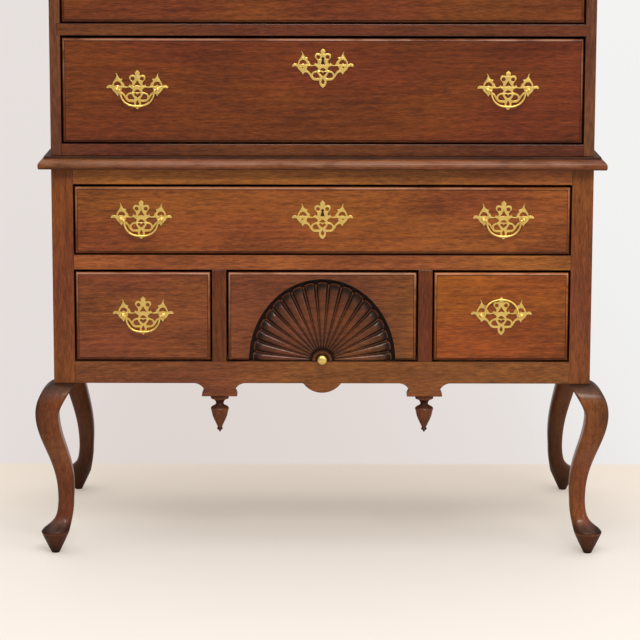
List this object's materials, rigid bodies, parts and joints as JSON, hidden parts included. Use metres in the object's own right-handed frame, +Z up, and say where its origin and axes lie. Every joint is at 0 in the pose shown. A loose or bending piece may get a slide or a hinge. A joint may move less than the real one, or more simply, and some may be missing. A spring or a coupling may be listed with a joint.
{
  "type": "highboy",
  "caption": "Flat-top highboy: upper chest of drawers on a lower case with cabriole legs, carved shell drawer, turned drops and pierced brass bail pulls.",
  "frame": {"origin": "on the floor, at the centre of the whole object's box", "axes": "+Z up, the drawer fronts face -Y and the drawers pull out that way, +X to the right as one faces them"},
  "size_m": [1.106, 0.569, 1.63],
  "materials": {
    "mahogany": "hand-rubbed reddish brown satin polish with darker edges",
    "secondary_wood": "plain planed, unpolished",
    "antique_brass": "polished cast brass, mellowed in the hollows"
  },
  "bodies": {
    "root": {"base_back_panel": "secondary_wood", "base_drawer_dividers": "mahogany", "base_drawer_rails": "mahogany", "base_drawer_runners": "secondary_wood", "base_side_left": "mahogany", "base_side_right": "mahogany", "cornice_moulding": "mahogany", "drop_finials": "mahogany", "front_apron": "mahogany", "leg_front_left": "mahogany", "leg_front_right": "mahogany", "leg_rear_left": "mahogany", "leg_rear_right": "mahogany", "upper_back_panel": "secondary_wood", "upper_bottom_board": "mahogany", "upper_drawer_rails": "mahogany", "upper_drawer_runners": "secondary_wood", "upper_side_left": "mahogany", "upper_side_right": "mahogany", "upper_top_board": "mahogany", "waist_moulding": "mahogany"},
    "shell_drawer": {"shell_drawer_front": "mahogany", "shell_drawer_box": "secondary_wood", "shell_drawer_hardware": "antique_brass"},
    "lower_left_drawer": {"lower_left_drawer_front": "mahogany", "lower_left_drawer_box": "secondary_wood", "lower_left_drawer_hardware": "antique_brass"},
    "lower_left_drawer_bail": {"lower_left_drawer_bail": "antique_brass"},
    "lower_right_drawer": {"lower_right_drawer_front": "mahogany", "lower_right_drawer_box": "secondary_wood", "lower_right_drawer_hardware": "antique_brass"},
    "lower_right_drawer_bail": {"lower_right_drawer_bail": "antique_brass"},
    "lower_long_drawer": {"lower_long_drawer_front": "mahogany", "lower_long_drawer_box": "secondary_wood", "lower_long_drawer_hardware": "antique_brass"},
    "lower_long_drawer_bail_left": {"lower_long_drawer_bail_left": "antique_brass"},
    "lower_long_drawer_bail_right": {"lower_long_drawer_bail_right": "antique_brass"},
    "upper_deep_drawer": {"upper_deep_drawer_front": "mahogany", "upper_deep_drawer_box": "secondary_wood", "upper_deep_drawer_hardware": "antique_brass"},
    "upper_deep_drawer_bail_left": {"upper_deep_drawer_bail_left": "antique_brass"},
    "upper_deep_drawer_bail_right": {"upper_deep_drawer_bail_right": "antique_brass"},
    "upper_middle_drawer": {"upper_middle_drawer_front": "mahogany", "upper_middle_drawer_box": "secondary_wood", "upper_middle_drawer_hardware": "antique_brass"},
    "upper_middle_drawer_bail_left": {"upper_middle_drawer_bail_left": "antique_brass"},
    "upper_middle_drawer_bail_right": {"upper_middle_drawer_bail_right": "antique_brass"},
    "upper_shallow_drawer": {"upper_shallow_drawer_front": "mahogany", "upper_shallow_drawer_box": "secondary_wood", "upper_shallow_drawer_hardware": "antique_brass"},
    "upper_shallow_drawer_bail_left": {"upper_shallow_drawer_bail_left": "antique_brass"},
    "upper_shallow_drawer_bail_right": {"upper_shallow_drawer_bail_right": "antique_brass"},
    "top_left_drawer": {"top_left_drawer_front": "mahogany", "top_left_drawer_box": "secondary_wood", "top_left_drawer_hardware": "antique_brass"},
    "top_left_drawer_bail": {"top_left_drawer_bail": "antique_brass"},
    "top_right_drawer": {"top_right_drawer_front": "mahogany", "top_right_drawer_box": "secondary_wood", "top_right_drawer_hardware": "antique_brass"},
    "top_right_drawer_bail": {"top_right_drawer_bail": "antique_brass"}
  },
  "joints": [
    {"name": "shell_drawer_slide", "type": "slide", "parent": "root", "child": "shell_drawer", "axis": [0, -1, 0], "range_m": [0, 0.34]},
    {"name": "lower_left_drawer_slide", "type": "slide", "parent": "root", "child": "lower_left_drawer", "axis": [0, -1, 0], "range_m": [0, 0.34]},
    {"name": "lower_left_drawer_bail_swing", "type": "hinge", "parent": "lower_left_drawer", "child": "lower_left_drawer_bail", "pos_m": [-0.338, -0.2505, 0.46175], "axis": [-1, 0, 0], "range_deg": [0, 190.9]},
    {"name": "lower_right_drawer_slide", "type": "slide", "parent": "root", "child": "lower_right_drawer", "axis": [0, -1, 0], "range_m": [0, 0.34]},
    {"name": "lower_right_drawer_bail_swing", "type": "hinge", "parent": "lower_right_drawer", "child": "lower_right_drawer_bail", "pos_m": [0.338, -0.2505, 0.46175], "axis": [-1, 0, 0], "range_deg": [-190.9, 0]},
    {"name": "lower_long_drawer_slide", "type": "slide", "parent": "root", "child": "lower_long_drawer", "axis": [0, -1, 0], "range_m": [0, 0.34]},
    {"name": "lower_long_drawer_bail_left_swing", "type": "hinge", "parent": "lower_long_drawer", "child": "lower_long_drawer_bail_left", "pos_m": [-0.34, -0.2505, 0.64475], "axis": [-1, 0, 0], "range_deg": [0, 190.9]},
    {"name": "lower_long_drawer_bail_right_swing", "type": "hinge", "parent": "lower_long_drawer", "child": "lower_long_drawer_bail_right", "pos_m": [0.34, -0.2505, 0.64475], "axis": [-1, 0, 0], "range_deg": [0, 190.9]},
    {"name": "upper_deep_drawer_slide", "type": "slide", "parent": "root", "child": "upper_deep_drawer", "axis": [0, -1, 0], "range_m": [0, 0.34]},
    {"name": "upper_deep_drawer_bail_left_swing", "type": "hinge", "parent": "upper_deep_drawer", "child": "upper_deep_drawer_bail_left", "pos_m": [-0.345, -0.2505, 0.88875], "axis": [-1, 0, 0], "range_deg": [0, 190.9]},
    {"name": "upper_deep_drawer_bail_right_swing", "type": "hinge", "parent": "upper_deep_drawer", "child": "upper_deep_drawer_bail_right", "pos_m": [0.345, -0.2505, 0.88875], "axis": [-1, 0, 0], "range_deg": [0, 190.9]},
    {"name": "upper_middle_drawer_slide", "type": "slide", "parent": "root", "child": "upper_middle_drawer", "axis": [0, -1, 0], "range_m": [0, 0.34]},
    {"name": "upper_middle_drawer_bail_left_swing", "type": "hinge", "parent": "upper_middle_drawer", "child": "upper_middle_drawer_bail_left", "pos_m": [-0.345, -0.2505, 1.10275], "axis": [-1, 0, 0], "range_deg": [0, 190.9]},
    {"name": "upper_middle_drawer_bail_right_swing", "type": "hinge", "parent": "upper_middle_drawer", "child": "upper_middle_drawer_bail_right", "pos_m": [0.345, -0.2505, 1.10275], "axis": [-1, 0, 0], "range_deg": [0, 190.9]},
    {"name": "upper_shallow_drawer_slide", "type": "slide", "parent": "root", "child": "upper_shallow_drawer", "axis": [0, -1, 0], "range_m": [0, 0.34]},
    {"name": "upper_shallow_drawer_bail_left_swing", "type": "hinge", "parent": "upper_shallow_drawer", "child": "upper_shallow_drawer_bail_left", "pos_m": [-0.345, -0.2505, 1.29675], "axis": [-1, 0, 0], "range_deg": [0, 190.9]},
    {"name": "upper_shallow_drawer_bail_right_swing", "type": "hinge", "parent": "upper_shallow_drawer", "child": "upper_shallow_drawer_bail_right", "pos_m": [0.345, -0.2505, 1.29675], "axis": [-1, 0, 0], "range_deg": [0, 190.9]},
    {"name": "top_left_drawer_slide", "type": "slide", "parent": "root", "child": "top_left_drawer", "axis": [0, -1, 0], "range_m": [0, 0.34]},
    {"name": "top_left_drawer_bail_swing", "type": "hinge", "parent": "top_left_drawer", "child": "top_left_drawer_bail", "pos_m": [-0.25075, -0.2505, 1.47075], "axis": [-1, 0, 0], "range_deg": [0, 190.9]},
    {"name": "top_right_drawer_slide", "type": "slide", "parent": "root", "child": "top_right_drawer", "axis": [0, -1, 0], "range_m": [0, 0.34]},
    {"name": "top_right_drawer_bail_swing", "type": "hinge", "parent": "top_right_drawer", "child": "top_right_drawer_bail", "pos_m": [0.25075, -0.2505, 1.47075], "axis": [-1, 0, 0], "range_deg": [0, 190.9]}
  ]
}
